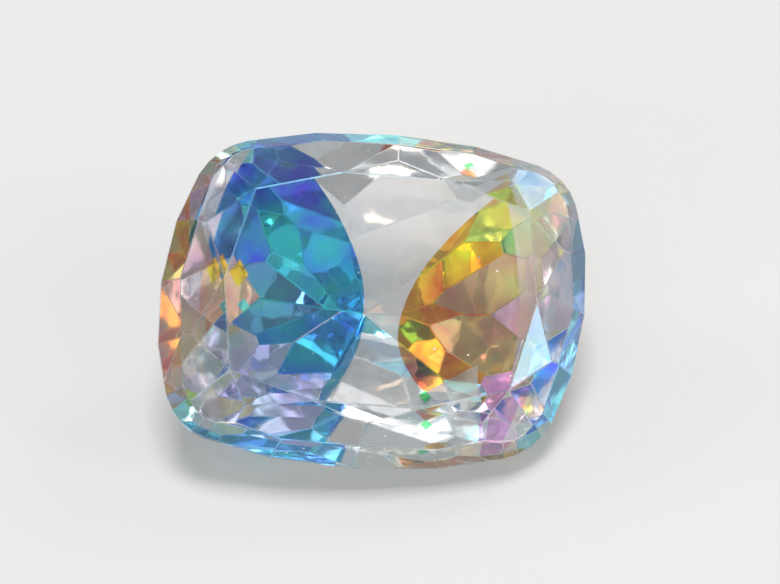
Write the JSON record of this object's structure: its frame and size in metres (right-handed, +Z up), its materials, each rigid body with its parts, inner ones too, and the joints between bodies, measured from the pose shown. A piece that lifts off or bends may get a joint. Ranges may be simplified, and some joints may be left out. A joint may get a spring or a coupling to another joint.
{
  "type": "faceted rainbow-coated quartz gemstone",
  "caption": "Loose cushion-cut clear quartz with a domed crown of flat facets, a wide table and a pointed pavilion, tinted blue at one end and orange at the other.",
  "frame": {"origin": "middle of the bounding box's base, on the surface the stone rests on", "axes": "+X along the stone's long axis towards its orange end, +Y to the back, where the stone rises highest, +Z up; it lies on a front facet of its pavilion, with its table tipped forward"},
  "size_m": [0.0206, 0.0138, 0.0119],
  "materials": {
    "gem": "polished clear quartz with a thin rainbow coating"
  },
  "bodies": {
    "root": {"gem": "gem"}
  },
  "joints": []
}
